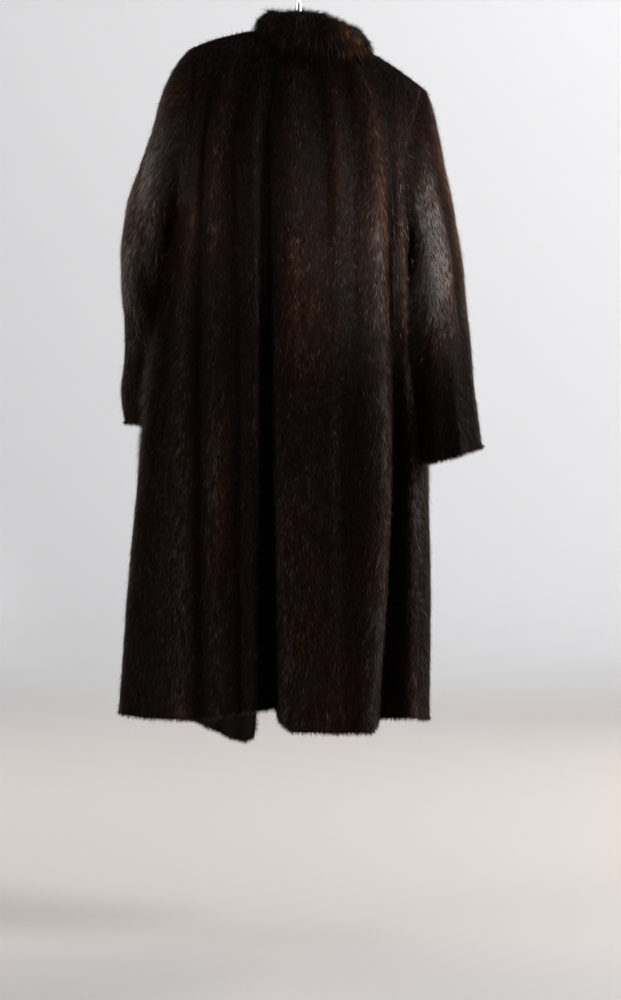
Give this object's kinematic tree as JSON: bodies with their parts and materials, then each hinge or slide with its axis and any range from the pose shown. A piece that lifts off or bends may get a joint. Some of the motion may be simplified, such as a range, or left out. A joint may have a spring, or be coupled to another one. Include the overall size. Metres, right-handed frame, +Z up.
{
  "type": "fur coat on a hanger",
  "caption": "Full-length fur coat with a turned-down collar, set-in sleeves and deep soft folds down the back, hanging open and slightly askew on a plain hanger.",
  "frame": {"origin": "inside top of the hanger's hook, where it bears on a rod", "axes": "+Z up along the hook, -Y out of the coat's back, +X towards the wearer's right sleeve"},
  "size_m": [0.6166, 0.2997, 1.3512],
  "materials": {
    "fur": "dark brown fur with a soft grey sheen",
    "hanger_plastic": "black, satin",
    "hook_steel": "bright polished steel"
  },
  "bodies": {
    "root": {"back": "fur", "front_left": "fur", "front_right": "fur", "sleeve_left": "fur", "sleeve_right": "fur", "collar": "fur", "hanger": "hanger_plastic", "hanger_hook": "hook_steel", "hanger_ferrule": "hook_steel"}
  },
  "joints": []
}
